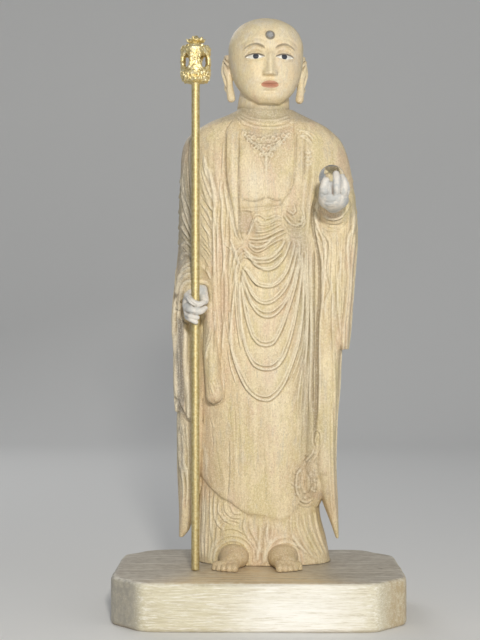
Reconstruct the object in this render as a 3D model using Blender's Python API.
"""A carved wooden figure on its own plinth, with a gilt staff and a clear jewel.

X runs to the viewer's right, Y away from the viewer and Z up. The origin is the middle of the
plinth's underside.
"""

import math

import bpy
import numpy as np

# Driving sizes, in metres
FIGURE_HEIGHT = 0.305
PLINTH_WIDTH = 0.156
PLINTH_DEPTH = 0.110
PLINTH_THICKNESS = 0.025
PLINTH_CUT_ACROSS = 0.0185
PLINTH_CUT_BACK = 0.020
PLINTH_EDGE = 0.0012
STAFF_DIAMETER = 0.0045
STAFF_LENGTH = 0.2660
STAFF_TENON = 0.004
FINIAL_DIAMETER = 0.0158
FINIAL_HEIGHT = 0.0205
FINIAL_WALL = 0.0022
WINDOW_WIDTH = 0.0076
WINDOW_HEIGHT = 0.0088
ROSETTE_DIAMETER = 0.0062
KNOB_DIAMETER = 0.0098
KNOB_HEIGHT = 0.0064
KNOB_NECK_DIAMETER = 0.0051
STUD_DIAMETER = 0.0027
JEWEL_DIAMETER = 0.014
STONE_DIAMETER = 0.0042
STONE_DEPTH = 0.0024
STONE_SUNK = 0.6
CLEARANCE = 0.0003
POCKET_CLEARANCE = 0.0004

# Triangles that carry each carved piece
ROBE_TRIANGLES = 4330
HEAD_TRIANGLES = 1900
HAND_TRIANGLES = 400

# The carving is laid out for a figure 305 units tall, standing on Z = 0 with its heels behind Y = 0
UNIT = FIGURE_HEIGHT / 305
TAU = 2 * math.pi
# Angle of a ball's first ring from its pole
POLE = 0.06

# In units: how fine each piece is cut, and how far the robe's carving stands out for a relief of one
ROBE_GRAIN = 1.0
HEAD_GRAIN = 0.6
HAND_GRAIN = 0.45
CUT_DEPTH = 1.25

# Places on the figure, in units: right, away, up
STAFF_AT = (-33.9, -17.4)
JEWEL_SEAT = (38.9, -29.5, 202.4)
FOOT_ACROSS = 14.2
STONE_AT = (0.0, 36.5)
HEAD_AT = (4.3, 13.0, 254.5)
HEAD_TURN = math.radians(6.5)

PALE_WOOD = (0.66, 0.50, 0.31)
PLINTH_WOOD = (0.70, 0.58, 0.40)
HAND_WOOD = (0.70, 0.64, 0.56)
GILT = (0.83, 0.62, 0.22)


def smooth_curve(keys, values, at):
    """Curve through the key values that never overshoots them: a monotone cubic."""
    k, v = np.asarray(keys, float), np.asarray(values, float)
    slope = np.diff(v) / np.diff(k)
    rise = np.zeros_like(v)
    same = slope[:-1] * slope[1:] > 0
    both = np.where(same, slope[:-1] + slope[1:], 1)
    rise[1:-1] = np.where(same, 2 * slope[:-1] * slope[1:] / both, 0)
    rise[0], rise[-1] = slope[0], slope[-1]
    at = np.clip(at, k[0], k[-1])
    i = np.clip(np.searchsorted(k, at, side="right") - 1, 0, len(k) - 2)
    h = np.diff(k)[i]
    t = (at - k[i]) / h
    start = (1 + 2 * t) * (1 - t) ** 2 * v[i] + t * (1 - t) ** 2 * h * rise[i]
    return start + t * t * (3 - 2 * t) * v[i + 1] + t * t * (t - 1) * h * rise[i + 1]


def step(value, width):
    """0 below zero, 1 above width, smooth between."""
    t = np.clip(value / width, 0, 1)
    return t * t * (3 - 2 * t)


def closed_grid(rings):
    """Points and faces of a skin over rings[i, j]: i goes up, j runs round, and a fan closes each end."""
    rows, cols, _ = rings.shape
    points = np.vstack([rings.reshape(-1, 3), rings[0].mean(0), rings[-1].mean(0)])
    i, j = np.meshgrid(np.arange(rows - 1), np.arange(cols), indexing="ij")
    n = (j + 1) % cols
    quads = np.stack([i * cols + j, i * cols + n, (i + 1) * cols + n, (i + 1) * cols + j], -1)
    j = np.arange(cols)
    n = (j + 1) % cols
    low = np.stack([np.full(cols, rows * cols), n, j], -1)
    high = np.stack([np.full(cols, rows * cols + 1), (rows - 1) * cols + j, (rows - 1) * cols + n], -1)
    return points, quads.reshape(-1, 4).tolist() + low.tolist() + high.tolist()


def column(levels, square=2.3, cols=96, spacing=1.2, middle=0.5):
    """Upright mass. Each level is up, left, right, front, back, and its section a superellipse."""
    t = np.asarray(sorted(levels), float)
    z = np.linspace(t[0, 0], t[-1, 0], max(4, int((t[-1, 0] - t[0, 0]) / spacing)))
    left, right, front, back = (smooth_curve(t[:, 0], t[:, k], z) for k in (1, 2, 3, 4))
    a = np.linspace(0, TAU, cols, endpoint=False)
    c, s = np.cos(a), np.sin(a)
    across = np.sign(c) * np.abs(c) ** (2 / square)
    away = np.sign(s) * np.abs(s) ** (2 / square)
    x = ((left + right) / 2)[:, None] + ((right - left) / 2)[:, None] * across
    mid = front + middle * (back - front)
    y = mid[:, None] + np.where(s < 0, (mid - front)[:, None], (back - mid)[:, None]) * away
    return closed_grid(np.stack([x, y, np.repeat(z[:, None], cols, 1)], -1))


def limb(path, radii, cols=20, per=6, flat=1.0):
    """Round tube along a smooth path with round ends. flat thins it across its level direction."""
    path, radii = np.asarray(path, float), np.asarray(radii, float)
    s = np.r_[0, np.cumsum(np.linalg.norm(np.diff(path, axis=0), axis=1))]
    at = np.linspace(0, s[-1], per * len(path))
    p = np.stack([smooth_curve(s, path[:, k], at) for k in range(3)], -1)
    r = np.interp(at, s, radii)
    d = np.gradient(p, axis=0)
    d /= np.linalg.norm(d, axis=1, keepdims=True)
    e = np.linspace(0.12, math.pi / 2, 6)[:-1]
    p = np.vstack([p[0] - d[0] * (r[0] * np.cos(e))[:, None], p,
                   p[-1] + d[-1] * (r[-1] * np.cos(e[::-1]))[:, None]])
    r = np.r_[r[0] * np.sin(e), r, r[-1] * np.sin(e[::-1])]
    d = np.vstack([np.repeat(d[:1], len(e), 0), d, np.repeat(d[-1:], len(e), 0)])
    up = np.array([0.0, 0.0, 1.0]) if abs(d[:, 2]).mean() < 0.8 else np.array([1.0, 0.0, 0.0])
    side = np.cross(d, up)
    side /= np.linalg.norm(side, axis=1, keepdims=True)
    other = np.cross(side, d)
    a = np.linspace(0, TAU, cols, endpoint=False)
    ring = side[:, None] * np.cos(a)[None, :, None] * flat + other[:, None] * np.sin(a)[None, :, None]
    return closed_grid(p[:, None] + ring * r[:, None, None])


def ball(centre, radii, cols=32, rows=20):
    """Ellipsoid of the three radii round the centre."""
    t = np.linspace(POLE, math.pi - POLE, rows)[::-1]
    a = np.linspace(0, TAU, cols, endpoint=False)
    unit = np.stack([np.sin(t)[:, None] * np.cos(a), np.sin(t)[:, None] * np.sin(a),
                     np.repeat(np.cos(t)[:, None], cols, 1)], -1)
    return closed_grid(np.asarray(centre, float) + unit * np.asarray(radii, float))


def world(points):
    """Units on the plinth's top to metres over the plinth's underside."""
    return np.asarray(points, float) * UNIT + (0, 0, PLINTH_THICKNESS + CLEARANCE)


def new_object(name, points, faces):
    mesh = bpy.data.meshes.new(name)
    mesh.from_pydata(np.asarray(points, float).tolist(), [], faces)
    made = bpy.data.objects.new(name, mesh)
    bpy.context.scene.collection.objects.link(made)
    return made


def join(name, shells):
    """One object from several closed skins, in metres."""
    points, faces, n = [], [], 0
    for some, skin in shells:
        points.append(some)
        faces += [[v + n for v in face] for face in skin]
        n += len(some)
    return new_object(name, world(np.vstack(points)), faces)


def apply_modifiers(piece):
    """Makes the evaluated mesh the object's own."""
    graph = bpy.context.evaluated_depsgraph_get()
    graph.update()
    mesh = bpy.data.meshes.new_from_object(piece.evaluated_get(graph))
    piece.modifiers.clear()
    old = piece.data
    piece.data = mesh
    bpy.data.meshes.remove(old)


def fuse(piece, size):
    """One skin over all the object's masses, with square faces of this size in units."""
    remesh = piece.modifiers.new("fuse", "REMESH")
    remesh.mode = "VOXEL"
    remesh.voxel_size = size * UNIT
    apply_modifiers(piece)


def points_of(piece):
    co = np.empty(len(piece.data.vertices) * 3, np.float32)
    piece.data.vertices.foreach_get("co", co)
    return (co.reshape(-1, 3).astype(float) - (0, 0, PLINTH_THICKNESS + CLEARANCE)) / UNIT


def set_points(piece, points):
    piece.data.vertices.foreach_set("co", world(points).astype(np.float32).ravel())
    piece.data.update()


def normals_of(piece):
    n = np.empty(len(piece.data.vertices) * 3, np.float32)
    piece.data.vertex_normals.foreach_get("vector", n)
    return n.reshape(-1, 3).astype(float)


def neighbour_mean(piece, values, rounds, weight=0.6):
    """Spreads values over the mesh: each point moves towards the mean of its neighbours."""
    ends = np.empty(len(piece.data.edges) * 2, np.int32)
    piece.data.edges.foreach_get("vertices", ends)
    a, b = ends.reshape(-1, 2).T
    n = len(values)
    count = np.bincount(a, minlength=n) + np.bincount(b, minlength=n)
    for _ in range(rounds):
        near = [np.bincount(a, v[b], n) + np.bincount(b, v[a], n) for v in values.T]
        values = values + weight * (np.stack(near, -1) / count[:, None] - values)
    return values


def thin(piece, triangles):
    """Collapses edges until about this many triangles are left, most of them where the carving is."""
    piece.data.calc_loop_triangles()
    decimate = piece.modifiers.new("thin", "DECIMATE")
    decimate.ratio = triangles / len(piece.data.loop_triangles)
    decimate.use_collapse_triangulate = True
    apply_modifiers(piece)


def cut(piece, cutter, operation="DIFFERENCE"):
    boolean = piece.modifiers.new("cut", "BOOLEAN")
    boolean.object = cutter
    boolean.operation = operation
    boolean.solver = "EXACT"
    apply_modifiers(piece)
    bpy.data.objects.remove(cutter)


def material(name, colour, roughness, metallic=0.0, transmission=0.0):
    made = bpy.data.materials.new(name)
    made.use_nodes = True
    shader = made.node_tree.nodes["Principled BSDF"]
    shader.inputs["Base Color"].default_value = (*colour, 1)
    shader.inputs["Roughness"].default_value = roughness
    shader.inputs["Metallic"].default_value = metallic
    shader.inputs["Transmission Weight"].default_value = transmission
    made.diffuse_color = (*colour, 1)
    return made


# Masses of the figure

def robe_masses():
    """Body, shoulders, sleeves and the hanging ends, each an upright column or a limb."""
    body = [
        (-3, -34.5, 40.8, -4.5, 40), (12, -34.2, 38.2, -4.5, 39), (30, -33.5, 34.2, -4, 38),
        (42, -33, 34.5, -4, 38), (60, -33, 36, -5, 38), (100, -33, 37, -7, 38), (140, -34, 39, -9, 38),
        (165, -36, 41, -10, 37), (190, -40, 46, -9, 37.5), (212, -43.5, 51, -7, 39),
        (222, -43.8, 51.2, -6, 39), (231, -42.8, 49, -4, 38), (236, -41, 46.5, -2.5, 37),
        (240, -38, 42.8, -1, 36), (243.5, -33, 38.5, 0.5, 35), (247, -26.5, 32, 2.5, 33),
        (250, -18.5, 25.5, 4.5, 30), (253, -12, 20, 7, 26),
    ]
    left_sleeve = [
        (118.5, 33.5, 49.7, -6, 27), (134, 34, 51.4, -7, 27), (152, 34, 52.6, -8.5, 28),
        (167, 33, 53.8, -9.5, 28), (181, 31.5, 55.0, -10, 28), (195, 31, 54.4, -8.5, 28),
        (208, 33, 53.0, -3, 26),
    ]
    left_tail = [
        (13.6, 43, 44.6, 5, 17), (24, 39.4, 44.4, 2, 20), (32, 36.6, 44.0, 0, 22),
        (44, 33, 43.3, -3, 24), (56, 31, 42.8, -5, 25), (73, 31, 43.2, -5, 25),
        (102, 31, 45.0, -5, 26), (125, 32, 46.4, -5, 26),
    ]
    right_sleeve = [
        (84, -46, -42, 4, 22), (92, -46.4, -39.5, 1, 24), (111, -46.6, -39, -2, 26),
        (135, -47.8, -38, -4, 27), (150, -46.6, -31, -4, 28), (165, -45, -28, -1, 28),
    ]
    right_tail = [
        (13.4, -44.6, -42, 9, 20), (18, -44.5, -38.5, 7, 23), (28, -44.2, -36, 5, 25),
        (40, -44.6, -33, 4, 27), (60, -45.1, -31, 3, 28), (85, -44.8, -30, 2, 29),
        (120, -44, -30, 1, 29), (150, -43, -30, 4, 29),
    ]
    return [
        column(body, 2.35),
        column(left_sleeve, 3.0),
        column(left_tail, 3.0),
        column(right_sleeve, 3.0),
        column(right_tail, 3.0),
        limb([(-34, 17, 220), (-35, 16, 200), (-35.2, 15, 182), (-35.4, 12, 166)], [10, 9.9, 9.6, 9.8]),
        limb([(-35.4, 12, 166), (-36, 2, 157), (-36, -5, 151)], [9.8, 9.8, 9]),
        limb([(40.5, 17, 222), (42.5, 16, 208), (44.2, 15, 190)], [11, 11.4, 11.6]),
        limb([(44, 15, 188), (43, 2, 191), (41, -8, 196)], [11.5, 11, 9.5]),
        limb([(-26, -4.5, 152), (-26.3, -6, 125), (-25.5, -6, 108), (-23.8, -6, 93)], [3.4, 4.2, 5.2, 5.4]),
    ]


def foot(middle, out):
    """Instep under the hem and five toes in a row. out is -1 or 1, the side of the little toe."""
    path = [(middle, 12, 5), (middle + out, -6, 4.6), (middle + 1.5 * out, -15, 3.2)]
    shells = [limb(path, [6, 7, 5.2], flat=1.2)]
    for k in range(5):
        big = 2.3 - 0.3 * k
        across = middle + out * (-5.6 + 3.35 * k)
        tip = -20.5 + 0.9 * k + 0.35 * k * k
        shells.append(limb([(across * 0.96 + middle * 0.04, -12, 2.6), (across, tip, big)], [big, big]))
    return shells


def head_masses():
    """Shaved head, neck and long ears, still without features. Turned and set by place_head."""
    skull = [
        (0.0, -6.0, 6.0, -15.5, -6), (3, -10.8, 10.8, -17.8, 3), (8, -15.0, 15.0, -18.6, 9),
        (14, -18.2, 18.2, -19.0, 15), (20, -19.9, 19.9, -19.6, 20), (27, -20.9, 20.9, -20.2, 23),
        (33, -21.0, 21.0, -20.2, 24), (39, -19.6, 19.6, -18.4, 23), (44, -16.2, 16.2, -14.8, 19.5),
        (47.8, -10.4, 10.4, -9.0, 13), (49.6, -4.6, 4.6, -3.5, 6), (50, -1.5, 1.5, -1, 2),
    ]
    shells = [column(skull, 2.15, spacing=0.8, middle=0.46)]
    shells.append(limb([(-0.8, 3, -12), (-0.4, 1, 1), (0, 1, 14)], [17, 15.2, 13]))
    for side in (-1, 1):
        shells.append(limb([(side * 20.3, 5.0, 27), (side * 20.9, 5.5, 21), (side * 20.4, 4.0, 13),
                            (side * 19.4, 2.0, 5)], [3.0, 3.2, 2.1, 2.3], flat=1.0))
    return shells


def place_head(points):
    """Head units to figure units: turned about the neck and set on it."""
    c, s = math.cos(HEAD_TURN), math.sin(HEAD_TURN)
    x, y, z = np.asarray(points, float).T
    return np.stack([x * c - y * s, x * s + y * c, z], -1) + HEAD_AT


def to_head(points):
    """The reverse of place_head."""
    c, s = math.cos(HEAD_TURN), math.sin(HEAD_TURN)
    x, y, z = (np.asarray(points, float) - HEAD_AT).T
    return np.stack([x * c + y * s, y * c - x * s, z], -1)


# Carving

def bump(x, z, at, size):
    """Round swelling, 1 at its middle and falling off with the distance in sizes across and up."""
    return np.exp(-((x - at[0]) / size[0]) ** 2 - ((z - at[1]) / size[1]) ** 2)


def along(keys, count=28):
    """Points spread evenly on a smooth curve through the keys (a Catmull-Rom spline by chord length)."""
    keys = np.asarray(keys, float)
    s = np.r_[0, np.cumsum(np.linalg.norm(np.diff(keys, axis=0), axis=1))]
    rise = np.gradient(keys, s, axis=0)
    t = np.linspace(0, s[-1], count)
    i = np.clip(np.searchsorted(s, t, side="right") - 1, 0, len(s) - 2)
    h = (s[i + 1] - s[i])[:, None]
    u = (t - s[i])[:, None] / h
    start = (1 + 2 * u) * (1 - u) ** 2 * keys[i] + u * (1 - u) ** 2 * h * rise[i]
    return start + u * u * (3 - 2 * u) * keys[i + 1] + u * u * (u - 1) * h * rise[i + 1]


def nearest(x, z, line):
    """Distance of each point to a line, its side (positive on the left) and its share of the length."""
    a, d = line[:-1], np.diff(line, axis=0)
    length = np.linalg.norm(d, axis=1)
    begun = np.r_[0, np.cumsum(length)[:-1]]
    best = np.full(len(x), 1e9)
    side, place = np.zeros(len(x)), np.zeros(len(x))
    for k in range(len(d)):
        px, pz = x - a[k, 0], z - a[k, 1]
        t = np.clip((px * d[k, 0] + pz * d[k, 1]) / length[k] ** 2, 0, 1)
        gap = np.hypot(px - t * d[k, 0], pz - t * d[k, 1])
        closer = gap < best
        best = np.where(closer, gap, best)
        side = np.where(closer, np.sign(d[k, 0] * pz - d[k, 1] * px), side)
        place = np.where(closer, (begun[k] + t * length[k]) / length.sum(), place)
    return best, side, place


def fold(relief, x, z, keys, height=1.0, width=1.3, groove=0.5, fade=0.18):
    """Adds a raised fold along a line: a round crest with a groove on its right side, faded at the ends."""
    line = along(keys)
    reach = 4 * width
    near = np.flatnonzero((x > line[:, 0].min() - reach) & (x < line[:, 0].max() + reach)
                          & (z > line[:, 1].min() - reach) & (z < line[:, 1].max() + reach))
    gap, side, place = nearest(x[near], z[near], line)
    signed = gap * side
    crest = np.exp(-(signed / width) ** 2) - groove * np.exp(-((signed + 1.5 * width) / (0.7 * width)) ** 2)
    ends = step(place, fade) * step(1 - place, fade)
    relief[near] += height * crest * ends


def family(first, last, count):
    """Lines spread evenly between two key lines of as many points."""
    first, last = np.asarray(first, float), np.asarray(last, float)
    return [first + (last - first) * k / (count - 1) for k in range(count)]


def swag_lines():
    """Nested folds that hang from the knot on the right hip up to the left hip."""
    bottoms = [(-1.0, 172.8), (1.6, 166.8), (3.9, 160.8), (4.0, 151.6), (4.6, 143.0), (5.2, 135.3),
               (3.6, 119.6), (4.6, 106.6), (4.7, 90.0)]
    lines = []
    for k, (x, z) in enumerate(bottoms):
        t = k / (len(bottoms) - 1)
        left = (-9.5 - 6.0 * t ** 2, 170 - 6 * t)
        right = (14 + 15 * min(1, 2.2 * t), 178 - 22 * t)
        low = 0.30 * (left[1] - z)
        lines.append([
            left, (left[0] - 0.8 * t, z + 1.6 * low + 3), (x - (x - left[0]) * 0.80, z + 0.75 * low + 0.8),
            (x - (x - left[0]) * 0.38, z + 0.11 * low + 0.2), (x, z),
            (x + (right[0] - x) * 0.38, z + 0.12 * low + 0.3),
            (x + (right[0] - x) * 0.78, z + 0.95 * low + 1.2), (right[0] - 0.5, z + 2.0 * low + 3), right])
    return lines


def chest_relief(x, z):
    """Bare chest sunk between the robe's two borders, the inner robe below it and the collar above."""
    relief = np.zeros(len(x))
    left = smooth_curve([178, 195, 212, 235, 250], [-9.2, -9.6, -10.0, -10.6, -12], z)
    right = smooth_curve([195, 200, 209, 216, 236, 250], [12, 14, 18, 20, 21.6, 19], z)
    bare = step(x - left, 0.9) * step(right - x, 0.9) * step(z - 195 - 0.08 * x, 1.2) * step(247 - z, 1.5)
    relief -= 1.5 * bare
    for side in (-1, 1):
        relief += 0.9 * bare * bump(x, z, (4.3 + 8.0 * side, 210.5), (7.2, 8.0))
    sunk = step(x - left, 0.9) * step(14 - x, 2) * step(z - 178, 1.5) * step(195.5 + 0.08 * x - z, 1.0)
    relief -= 0.7 * sunk
    for keys in ([(-9, 202.5), (-5.5, 200.2), (-1, 200.0), (4.3, 202.4)],
                 [(4.3, 202.4), (9, 200.2), (13, 200.2), (17, 203)]):
        fold(relief, x, z, keys, -0.6, 0.7, 0, 0.12)
    for line in family([(-13, 250), (-5, 245.2), (4.3, 243.6), (13, 244.6), (20.5, 248)],
                       [(-11.6, 246.5), (-4.5, 242.2), (4.3, 240.8), (13, 241.6), (19.8, 244.5)], 3):
        fold(relief, x, z, line, 0.7, 0.75, 0.4, 0.05)
    return relief


def waist_relief(x, z):
    """Inner robe and sash: a knot ridge on the left, slanting wraps and the pouched cloth at the right."""
    relief = np.zeros(len(x))
    for line in family([(-9.5, 194.8), (1.3, 194.4), (13, 197.4)],
                       [(-9, 179.5), (1.5, 177.6), (14, 183)], 5):
        fold(relief, x, z, line, 0.8, 1.0, 0.5, 0.1)
    fold(relief, x, z, [(-1.5, 193), (-4.2, 187), (-6.6, 179)], 1.3, 1.3, 0.4)
    fold(relief, x, z, [(-1.5, 192.8), (2.7, 190.2), (12, 193.6)], 0.9, 0.9, 0.5)
    for line in family([(14.5, 198), (18.5, 194.8), (21, 196), (21.3, 202)],
                       [(12, 188), (19, 182.5), (27, 184), (29, 196)], 3):
        fold(relief, x, z, line, 1.0, 1.1, 0.5, 0.12)
    return relief


def border_relief(x, z):
    """Upright borders of the outer cloth beside the chest, and the folds from them over the flanks."""
    relief = np.zeros(len(x))
    fold(relief, x, z, [(-18, 243), (-18, 222), (-17.9, 208), (-16, 196), (-13.4, 187), (-10, 177.5)],
         -0.8, 0.7, 0, 0.06)
    fold(relief, x, z, [(-14.3, 246), (-14.2, 212), (-12.6, 196), (-10.6, 182)], 0.7, 2.6, 0, 0.1)
    for line in family([(-31, 232), (-28, 212), (-21, 190), (-15, 160), (-17, 120)],
                       [(-21, 236), (-21.5, 214), (-17.6, 196), (-12.5, 170), (-13.5, 130)], 4):
        fold(relief, x, z, line, 0.8, 1.2, 0.5)
    for line in family([(-25.3, 196), (-25, 160), (-24, 120), (-20, 60)],
                       [(-14, 172), (-15.5, 150), (-17.5, 120), (-14, 62)], 4):
        fold(relief, x, z, line, 0.9, 1.3, 0.5, 0.3)
    fold(relief, x, z, [(23, 246), (25, 236), (24, 216), (20, 204), (17, 196)], 0.8, 1.3, 0.6, 0.1)
    for line in family([(27, 240), (33.5, 232), (29, 222), (27, 206), (24, 180)],
                       [(32, 243), (42, 230), (36, 214), (31, 200), (30, 178)], 3):
        fold(relief, x, z, line, 0.7, 1.2, 0.5, 0.2)
    for line in family([(19, 176), (20, 150), (17, 110), (14, 55)],
                       [(30, 196), (30.5, 150), (29.5, 100), (28, 52)], 6):
        fold(relief, x, z, line, 0.9, 1.25, 0.5, 0.2)
    return relief


def skirt_relief(x, z):
    """The outer cloth's lower edge stands over the skirt; both fall in long shallow folds."""
    relief = np.zeros(len(x))
    edge = smooth_curve([-34, -26.2, -20.2, -13.1, -6.8, 0, 11, 22, 34],
                        [49, 41.3, 36.6, 32.5, 28.4, 27.4, 25.5, 31, 44], x)
    cloth = step(z - edge, 0.9)
    relief += 1.5 * cloth * step(120 - z, 60) * step(35.5 - np.abs(x - 3), 1.5)
    upper, lower = np.zeros(len(x)), np.zeros(len(x))
    for line in family([(-27, 92), (-28, 60), (-29, 40)], [(26, 60), (24, 46), (22, 30)], 9):
        fold(upper, x, z, line, 0.55, 2.1, 0.3, 0.3)
    fold(upper, x, z, [(-15.8, 72), (-15.0, 52), (-15.6, 34)], -0.7, 0.8, 0, 0.2)
    relief += upper * cloth
    for line in family([(-30, 50), (-29.5, 25), (-30, -4)], [(-9, 33), (-3.5, 18), (-4, -4)], 6):
        fold(lower, x, z, line, 0.9, 1.25, 0.5, 0.12)
    for line in family([(1, 30), (1.5, 14), (0.5, -4)], [(9, 28), (7.5, 14), (7, -4)], 3):
        fold(lower, x, z, line, 0.9, 1.2, 0.5, 0.12)
    for line in family([(16, 32), (20, 14), (22, -4)], [(33, 46), (35, 20), (40, -4)], 6):
        fold(lower, x, z, line, 0.9, 1.25, 0.5, 0.12)
    over = np.zeros(len(x))
    for side in (-1, 1):
        middle = FOOT_ACROSS * side
        for line in family([(middle - 10.5, -3), (middle - 8, 6.5), (middle, 11.4), (middle + 8, 6.5),
                            (middle + 10.5, -3)],
                           [(middle - 13.6, -3), (middle - 10.4, 8.5), (middle, 15), (middle + 10.4, 8.5),
                            (middle + 13.6, -3)], 2):
            fold(over, x, z, line, 1.0, 1.3, 0.3, 0.02)
    relief += (lower * step(z - 8, 6) + over) * (1 - cloth)
    return relief


def frill_relief(x, z):
    """Turned edge that falls in loops down the left side of the skirt."""
    relief = np.zeros(len(x))
    for keys in ([(33, 74), (29.5, 66), (31.5, 60), (27.5, 55), (23, 51)],
                 [(23, 51), (21.5, 44), (24.5, 35), (28.5, 33.5), (30.5, 39), (28, 49)],
                 [(35.5, 68), (33, 60), (34, 52), (31, 44), (33, 36)],
                 [(26, 50), (25, 43), (27, 38)]):
        fold(relief, x, z, keys, 1.2, 1.2, 0.6, 0.1)
    return relief


def sleeve_relief(x, z):
    """Folds of both sleeves, seen from the front."""
    relief = np.zeros(len(x))
    for line in family([(-45, 214), (-38, 203), (-30, 196), (-24, 192)],
                       [(-46, 176), (-40, 166), (-33, 162), (-27, 160)], 6):
        fold(relief, x, z, line, 0.9, 1.3, 0.5)
    for line in family([(-46.5, 128), (-46, 148), (-41, 157), (-34, 161), (-27, 158)],
                       [(-43, 128), (-42.8, 144), (-39.5, 152), (-34, 156), (-29, 154)], 3):
        fold(relief, x, z, line, 0.8, 1.0, 0.5, 0.1)
    fold(relief, x, z, [(-44, 136), (-43.4, 118), (-43.2, 100), (-43.6, 88)], -2.2, 1.9, 0, 0.15)
    for line in family([(-42, 86), (-43, 60), (-42.5, 24)], [(-34, 80), (-36, 56), (-39, 24)], 3):
        fold(relief, x, z, line, 0.7, 1.2, 0.5)
    inner_edge = [(30.6, 206), (29.3, 195), (29.6, 188), (31.4, 176), (33, 158), (33.2, 140),
                  (31.6, 112), (31.8, 76), (29.5, 58)]
    fold(relief, x, z, inner_edge, -1.6, 0.9, 0, 0.04)
    for line in family([(33, 198), (32.4, 186), (35, 165), (35, 130), (34.5, 60)],
                       [(52.5, 196), (54, 178), (51.5, 150), (49, 122), (42.5, 40)], 6):
        fold(relief, x, z, line, 0.8, 1.4, 0.5, 0.15)
    return relief


def side_relief(y, z):
    """Long hanging folds down the outer side of a sleeve, and arcs over the upper arm."""
    relief = np.zeros(len(y))
    for line in family([(-6, 180), (-5, 140), (-3, 90), (6, 20)],
                       [(27, 205), (26, 150), (24, 90), (18, 20)], 6):
        fold(relief, y, z, line, 0.9, 1.5, 0.5, 0.15)
    for line in family([(4, 226), (16, 213), (30, 220)], [(0, 192), (14, 178), (29, 190)], 4):
        fold(relief, y, z, line, 0.8, 1.4, 0.5, 0.2)
    return relief


def back_relief(x, z):
    """The outer cloth goes over the left shoulder and hangs across the back to the right hip."""
    relief = np.zeros(len(x))
    for line in family([(38, 238), (24, 222), (4, 212), (-16, 214), (-34, 226)],
                       [(42, 150), (27, 104), (4, 84), (-18, 92), (-38, 140)], 8):
        fold(relief, x, z, line, 1.0, 1.6, 0.5, 0.15)
    edge = smooth_curve([-34, -15, 4, 20, 38], [50, 38, 32, 36, 48], x)
    cloth = step(z - edge, 0.9)
    relief += 1.5 * cloth * step(120 - z, 60) * step(34 - np.abs(x - 4), 1.5)
    for line in family([(-28, 80), (-29, 40), (-30, -4)], [(34, 80), (35, 40), (38, -4)], 9):
        fold(relief, x, z, line, 0.7, 1.9, 0.4, 0.12)
    return relief


def robe_relief(p, n):
    """How far the carving stands out of the robe's masses at each point, in units."""
    x, y, z = p.T
    front, back = step(-n[:, 1] - 0.12, 0.4), step(n[:, 1] - 0.12, 0.4)
    side = step(np.abs(n[:, 0]) - 0.55, 0.3)
    ahead = np.zeros(len(p))
    for line in swag_lines():
        fold(ahead, x, z, line, 1.0, 1.15, 0.45)
    for some in (chest_relief, waist_relief, border_relief, skirt_relief, frill_relief, sleeve_relief):
        ahead += some(x, z)
    relief = front * ahead
    relief += back * back_relief(x, z)
    relief += side * (1 - front) * (1 - back) * side_relief(y, z)
    foot_top = step(z - 1.0, 1.5)
    shown = np.where(y < -6.5, step(z - 14, 4), 1)
    return relief * shown * foot_top


def carve(piece, relief_of):
    """Moves each point out along its softened normal by the relief there."""
    points = points_of(piece)
    normals = neighbour_mean(piece, normals_of(piece), 3)
    normals /= np.maximum(np.linalg.norm(normals, axis=1, keepdims=True), 1e-6)
    set_points(piece, points + normals * CUT_DEPTH * relief_of(points, normals)[:, None])


def face_relief(x, z):
    """Plain face on a head 50 units high: eyes at half its height, nose and mouth in the lower half."""
    side = np.abs(x)
    relief = -2.0 * bump(side, z, (7.4, 27.0), (5.6, 4.2))
    relief += 2.0 * bump(side, z, (8.0, 25.0), (4.4, 2.7))
    brow = [(2.0, 28.6), (4.0, 31.0), (8.0, 32.2), (12.0, 31.2), (15.0, 28.6)]
    upper_lid = [(3.0, 24.6), (5.4, 26.6), (8.2, 27.2), (11.0, 26.3), (13.2, 24.2)]
    lower_lid = [(13.0, 24.0), (10.8, 23.0), (8.2, 22.6), (5.4, 23.2), (3.4, 24.4)]
    fold(relief, side, z, brow, 0.8, 1.3, 0.5)
    fold(relief, side, z, upper_lid, 0.8, 0.7, 0.9, 0.1)
    fold(relief, side, z, lower_lid, 0.5, 0.7, 0.9, 0.1)
    length = step(30 - z, 5) * step(z - 13.6, 1.6)
    rise = 1.2 + 3.0 * np.clip((29 - z) / 13, 0, 1) ** 1.4
    relief += length * rise * np.exp(-(x / (1.9 + 0.07 * np.clip(29 - z, 0, 15))) ** 2)
    relief += 1.5 * bump(side, z, (2.9, 15.2), (1.3, 1.3))
    relief += 1.5 * bump(x, z, (0, 10.6), (4.8, 1.2)) + 1.7 * bump(x, z, (0, 7.7), (3.8, 1.3))
    relief -= 1.2 * np.exp(-(x / 5.0) ** 4 - ((z - 9.2 - 0.012 * x * x) / 0.6) ** 2)
    relief += 1.1 * bump(x, z, (0, 2.8), (5, 2.8)) - 0.8 * bump(x, z, (0, 5.7), (4, 1.1))
    relief -= 0.5 * bump(x, z, (0, 12.8), (0.9, 1.3))
    relief += 0.9 * bump(side, z, (11, 15), (6, 6.5))
    return relief


def head_relief(p, n):
    """Face on the front of the head, rings round the neck and a hollow inside each ear."""
    x, y, z = to_head(p).T
    relief = face_relief(x, z) * step(-4 - y, 6) * step(z + 1.5, 2)
    for ring in (-3.5, -7.5):
        relief -= 0.7 * np.exp(-((z - ring - 0.02 * (x * x)) / 0.8) ** 2) * step(17 - np.abs(x), 2)
    ear = np.zeros(len(p))
    for inner in (0, 1.9):
        rim = [(0.2, 17), (0.6 + inner, 25), (4.4, 29 - inner), (7.8 - inner, 25), (6.2 - inner, 16),
               (3.6, 8)]
        fold(ear, y, z, rim, 0.8, 0.8, 0.9, 0.1)
    relief += ear * step(np.abs(x) - 20.0, 1.5)
    return relief * step(z + 9.5, 2)


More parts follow.
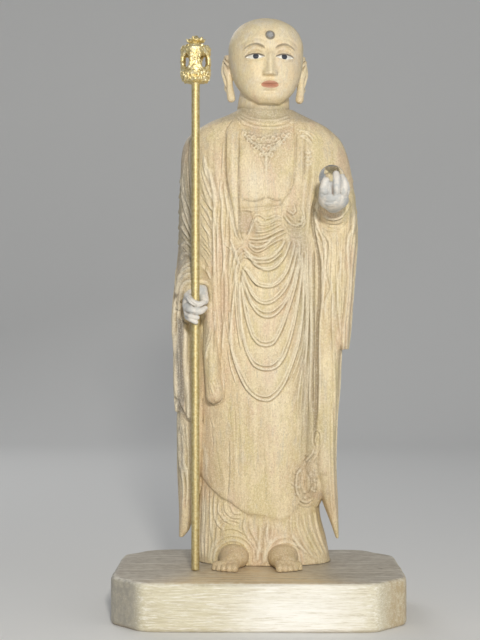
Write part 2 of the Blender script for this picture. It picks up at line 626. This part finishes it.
def carved(name, shells, grain, relief_of, triangles):
    """Masses fused into one skin, softened, carved and thinned."""
    piece = join(name, shells)
    fuse(piece, grain)
    set_points(piece, neighbour_mean(piece, points_of(piece), 2))
    if relief_of:
        carve(piece, relief_of)
    thin(piece, triangles)
    return piece


def make_figure():
    """Robe and feet, with the head let into the collar, as one body that is flat below."""
    masses = robe_masses() + foot(-FOOT_ACROSS, -1) + foot(FOOT_ACROSS, 1)
    piece = carved("figure", masses, ROBE_GRAIN, robe_relief, ROBE_TRIANGLES)
    head = [(place_head(points), faces) for points, faces in head_masses()]
    cut(piece, carved("head", head, HEAD_GRAIN, head_relief, HEAD_TRIANGLES), "UNION")
    cut(piece, block("under", (0, 0, -10), (200, 200, 20)))
    return piece


# Hands

def finger(points, radius):
    return limb(points, [radius] * (len(points) - 1) + [0.88 * radius], cols=14)


def right_hand_masses():
    """Fist round the staff: back to the left, thumb over the staff, wrist going up into the sleeve."""
    x, y = STAFF_AT
    shells = [
        limb([(x + 2.5, y + 15, 153), (x + 0.5, y + 8, 149)], [5.4, 5.8]),
        limb([(x - 3.8, y + 4.6, 149), (x - 5.4, y + 3.2, 137)], [4.6, 4.2]),
        limb([(x + 2.8, y + 6.5, 151), (x + 4.6, y + 3.2, 145)], [3.6, 2.6]),
        finger([(x - 5.5, y + 1.5, 149.5), (x - 3.6, y - 3.8, 146.8), (x + 2.2, y - 4.4, 143.9)], 1.9),
    ]
    for k in range(4):
        z = 142.6 - 3.3 * k
        turn = 1 - 0.13 * k
        bent = [(x - 6.6, y + 1.5, z - 0.3), (x - 4.2, y - 3.8, z - 0.8), (x + 1.4 * turn, y - 4.4, z),
                (x + 5.2 * turn, y - 0.5, z + 0.6)]
        shells.append(finger(bent, 2.05 - 0.1 * k))
    return shells


def left_hand_masses():
    """Open hand held out palm up, its fingers bent up before the jewel and the thumb beside it."""
    x, y, z = JEWEL_SEAT
    shells = [
        limb([(x + 2.2, y + 20, z - 6.5), (x + 2.0, y + 9, z - 6.2)], [5.6, 6.2]),
        ball((x + 1.4, y + 1.5, z - 4.6), (7.8, 9.0, 6.4)),
        finger([(x - 5.6, y + 2, z - 1), (x - 7.3, y + 1, z + 3), (x - 6.9, y - 1.5, z + 6.8)], 1.9),
    ]
    for k, (across, tip) in enumerate(((-3.2, 5.8), (1.9, 9.4), (5.6, 7.6))):
        bent = [(x + across, y - 4.5, z - 4.2), (x + 1.02 * across, y - 8.3, z - 0.2),
                (x + across, y - 9.2, z + 3.4), (x + 0.94 * across, y - 8.0, z + tip)]
        shells.append(finger(bent, 2.35 - 0.12 * k))
    return shells


def grown(piece, by):
    """Copy of a piece whose skin stands out by this many metres: the shape of the pocket that takes it."""
    copy = bpy.data.objects.new(piece.name + "_pocket", piece.data.copy())
    bpy.context.scene.collection.objects.link(copy)
    set_points(copy, points_of(copy) + normals_of(copy) * by / UNIT)
    return copy


# Turned and sawn pieces

def block(name, centre, size):
    """Box in units, as a cutter."""
    corners = [(x, y, z) for x in (-0.5, 0.5) for y in (-0.5, 0.5) for z in (-0.5, 0.5)]
    points = np.asarray(corners) * size + centre
    faces = [(0, 1, 3, 2), (4, 6, 7, 5), (0, 4, 5, 1), (2, 3, 7, 6), (0, 2, 6, 4), (1, 5, 7, 3)]
    return new_object(name, world(points), faces)


def turned(name, profile, at, sides=16):
    """Solid of revolution in metres: the profile lists radius and height upwards, on an upright axis."""
    profile = np.asarray(profile, float)
    a = np.linspace(0, TAU, sides, endpoint=False)
    rings = np.stack([profile[:, :1] * np.cos(a), profile[:, :1] * np.sin(a),
                      np.repeat(profile[:, 1:], sides, 1)], -1)
    points, faces = closed_grid(rings + np.asarray(at, float))
    piece = new_object(name, points, faces)
    piece.data.shade_smooth()
    piece.data.set_sharp_from_angle(angle=math.radians(40))
    return piece


def staff_place():
    """Middle of the staff's foot, a clearance above the plinth."""
    x, y, _ = world((*STAFF_AT, 0))
    return x, y, PLINTH_THICKNESS + CLEARANCE


def rod(name, radius, low, high, at, sides=16):
    return turned(name, [(radius, low), (radius, high)], at, sides)


def make_staff_shaft():
    radius = STAFF_DIAMETER / 2
    soft = 0.15 * radius
    return turned("staff_shaft", [
        (radius - soft, 0), (radius, soft), (radius, STAFF_LENGTH - soft), (radius - soft, STAFF_LENGTH),
    ], staff_place())


def make_staff_finial():
    """Openwork cage of four ribs round a post with a rosette, studs below and a flared knob on top."""
    x, y, foot_z = staff_place()
    at = (x, y, foot_z + STAFF_LENGTH - STAFF_TENON + CLEARANCE)
    radius, height, post = FINIAL_DIAMETER / 2, FINIAL_HEIGHT, STAFF_DIAMETER / 2
    knob, neck, rosette = KNOB_DIAMETER / 2, KNOB_NECK_DIAMETER / 2, ROSETTE_DIAMETER / 2
    piece = turned("staff_finial", [
        (0.60 * radius, 0), (0.92 * radius, 0.045 * height), (radius, 0.14 * height),
        (radius, 0.84 * height), (0.93 * radius, 0.94 * height), (0.70 * radius, height),
        (neck, height + 0.04 * KNOB_HEIGHT),
        (neck, height + 0.30 * KNOB_HEIGHT), (knob, height + 0.52 * KNOB_HEIGHT),
        (0.90 * knob, height + 0.74 * KNOB_HEIGHT), (0.40 * knob, height + 0.84 * KNOB_HEIGHT),
        (0.12 * knob, height + KNOB_HEIGHT),
    ], at)
    low, high = 0.585 * height - WINDOW_HEIGHT / 2, 0.585 * height + WINDOW_HEIGHT / 2
    outer = radius - FINIAL_WALL
    hollow = turned("hollow", [(post, low), (outer, low), (outer, high), (post, high)], at)
    refill = turned("post", [
        (post, low - FINIAL_WALL / 2), (post, low + 0.30 * WINDOW_HEIGHT),
        (rosette, low + 0.46 * WINDOW_HEIGHT), (rosette, low + 0.56 * WINDOW_HEIGHT),
        (post, low + 0.72 * WINDOW_HEIGHT), (post, high + FINIAL_WALL / 2),
    ], at, 12)
    cut(piece, hollow)
    for k in range(4):
        turn = math.radians(45 + 90 * k)
        window = window_cutter(outer - CLEARANCE, radius * 1.2, low, high)
        window.rotation_euler = (0, 0, turn)
        window.location = at
        cut(piece, window)
    cut(piece, refill, "UNION")
    dome = STUD_DIAMETER / 2
    for k in range(8):
        turn = math.radians(22.5 + 45 * k)
        profile = [(0.6 * dome, -FINIAL_WALL), (dome, 0), (0.65 * dome, 0.5 * dome)]
        stud = turned("stud", profile, (0, 0, 0), 6)
        stud.rotation_euler = (0, math.radians(90), turn)
        stud.location = (at[0] + radius * math.cos(turn), at[1] + radius * math.sin(turn),
                         at[2] + 0.24 * height)
        cut(piece, stud, "UNION")
    cut(piece, rod("socket", post + CLEARANCE, -STAFF_TENON, STAFF_TENON, at))
    return piece


def window_cutter(inner, outer, low, high):
    """Wall opening with rounded ends, drawn across X and pushed out from inner to outer."""
    half = WINDOW_WIDTH / 2
    a = np.linspace(0, TAU, 12, endpoint=False)
    across = half * np.sign(np.cos(a)) * np.abs(np.cos(a)) ** (2 / 2.6)
    up = (low + high) / 2 + (high - low) / 2 * np.sign(np.sin(a)) * np.abs(np.sin(a)) ** (2 / 2.6)
    rings = [np.stack([np.full(12, r), across, up], -1) for r in (inner, outer)]
    return new_object("window", *closed_grid(np.stack(rings)))


def sphere(name, radius):
    """Ball in metres whose middle is the middle of the jewel."""
    t = np.linspace(POLE, math.pi - POLE, 9)
    profile = np.stack([radius * np.sin(t), -radius * np.cos(t)], -1)
    piece = turned(name, profile, world(JEWEL_SEAT) + (0, 0, JEWEL_DIAMETER / 2))
    piece.data.shade_smooth()
    return piece


def make_stone(figure):
    """Domed stone, let into the forehead along the face's own direction."""
    x, z = STONE_AT
    outward = np.array([math.sin(HEAD_TURN), -math.cos(HEAD_TURN), 0.0])
    centre = world(place_head([(x, 0, z)])[0])
    skin = figure.ray_cast((centre + FIGURE_HEIGHT * outward).tolist(), (-outward).tolist())[1]
    base = np.asarray(skin) - outward * STONE_DEPTH * STONE_SUNK
    angle = (math.radians(90), 0, HEAD_TURN)
    radius = STONE_DIAMETER / 2
    profile = [(radius, 0), (radius, 0.55 * STONE_DEPTH), (0.8 * radius, 0.85 * STONE_DEPTH),
               (0.35 * radius, STONE_DEPTH)]
    stone = turned("forehead_crystal", profile, (0, 0, 0), 14)
    stone.rotation_euler, stone.location = angle, base
    seat = rod("seat", radius + CLEARANCE, -CLEARANCE, 3 * STONE_DEPTH, (0, 0, 0), 14)
    seat.rotation_euler, seat.location = angle, base
    cut(figure, seat)
    return stone


def make_plinth():
    """Board with four cut corners and softened edges."""
    x, y = PLINTH_WIDTH / 2, PLINTH_DEPTH / 2
    quarter = [(x, y - PLINTH_CUT_BACK), (x - PLINTH_CUT_ACROSS, y)]
    outline = quarter + [(-a, b) for a, b in reversed(quarter)] + [(-a, -b) for a, b in quarter]
    outline += [(a, -b) for a, b in reversed(quarter)]
    n = len(outline)
    points = [(a, b, z) for z in (0, PLINTH_THICKNESS) for a, b in outline]
    faces = [tuple(reversed(range(n))), tuple(range(n, 2 * n))]
    faces += [(k, (k + 1) % n, n + (k + 1) % n, n + k) for k in range(n)]
    piece = new_object("plinth", points, faces)
    bevel = piece.modifiers.new("worn edges", "BEVEL")
    bevel.width = PLINTH_EDGE
    bevel.segments = 3
    bevel.limit_method = "ANGLE"
    bevel.angle_limit = math.radians(30)
    return piece


def main():
    for old in list(bpy.data.objects):
        bpy.data.objects.remove(old)
    figure = make_figure()
    right_hand = carved("right_hand", right_hand_masses(), HAND_GRAIN, None, HAND_TRIANGLES)
    left_hand = carved("left_hand", left_hand_masses(), HAND_GRAIN, None, HAND_TRIANGLES)
    for hand in (right_hand, left_hand):
        cut(figure, grown(hand, POCKET_CLEARANCE))
    at = staff_place()
    bore = STAFF_DIAMETER / 2 + CLEARANCE
    for piece in (right_hand, figure):
        cut(piece, rod("bore", bore, -CLEARANCE, STAFF_LENGTH + CLEARANCE, at))
    jewel = sphere("jewel", JEWEL_DIAMETER / 2)
    cut(left_hand, sphere("jewel_seat", JEWEL_DIAMETER / 2 + CLEARANCE))
    stone = make_stone(figure)
    wood = material("pale_wood", PALE_WOOD, 0.55)
    hand_wood = material("hand_wood", HAND_WOOD, 0.5)
    gilt = material("gilt", GILT, 0.35, metallic=0.9)
    glass = material("clear_glass", (0.9, 0.93, 0.95), 0.03, transmission=1.0)
    finishes = {
        figure: wood, right_hand: hand_wood, left_hand: hand_wood, jewel: glass, stone: glass,
        make_staff_shaft(): gilt, make_staff_finial(): gilt,
        make_plinth(): material("plinth_wood", PLINTH_WOOD, 0.5),
    }
    for piece, finish in finishes.items():
        piece.data.materials.clear()
        piece.data.materials.append(finish)
        if finish in (wood, hand_wood):
            piece.data.shade_smooth()
            piece.data.set_sharp_from_angle(angle=math.radians(60))


main()
